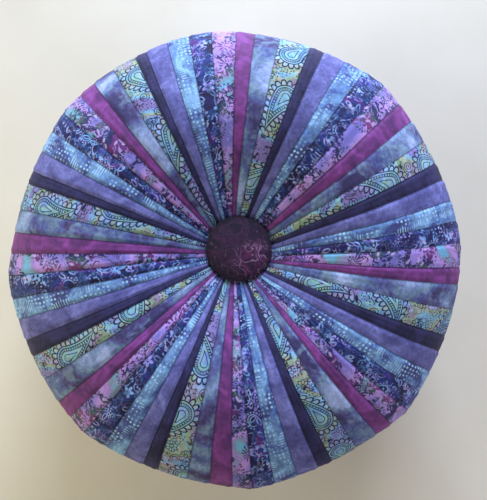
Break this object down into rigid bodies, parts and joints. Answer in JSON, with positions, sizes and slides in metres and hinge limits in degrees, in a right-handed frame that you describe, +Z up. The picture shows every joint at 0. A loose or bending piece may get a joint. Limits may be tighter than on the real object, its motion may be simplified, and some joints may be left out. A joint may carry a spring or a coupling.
{
  "type": "patchwork tuffet",
  "caption": "Round low tuffet: a firm filled cushion under a patchwork cover of narrow wedge strips, drawn in at its crown by a cloth-covered button.",
  "frame": {"origin": "middle of the flat base, at the level of the floor that the tuffet stands on", "axes": "+Z up through the crown; +Y towards the side that is uppermost in the picture; +X to the picture's right"},
  "size_m": [0.4574, 0.4625, 0.23],
  "materials": {
    "patchwork": "printed and batik-dyed quilting cotton, plain weave, matt",
    "button_cloth": "dark plum batik cotton stretched over a button, matt",
    "base_cloth": "plain dark cotton, matt"
  },
  "bodies": {
    "root": {"cushion": "patchwork", "top_button": "button_cloth", "base_panel": "base_cloth"}
  },
  "joints": []
}
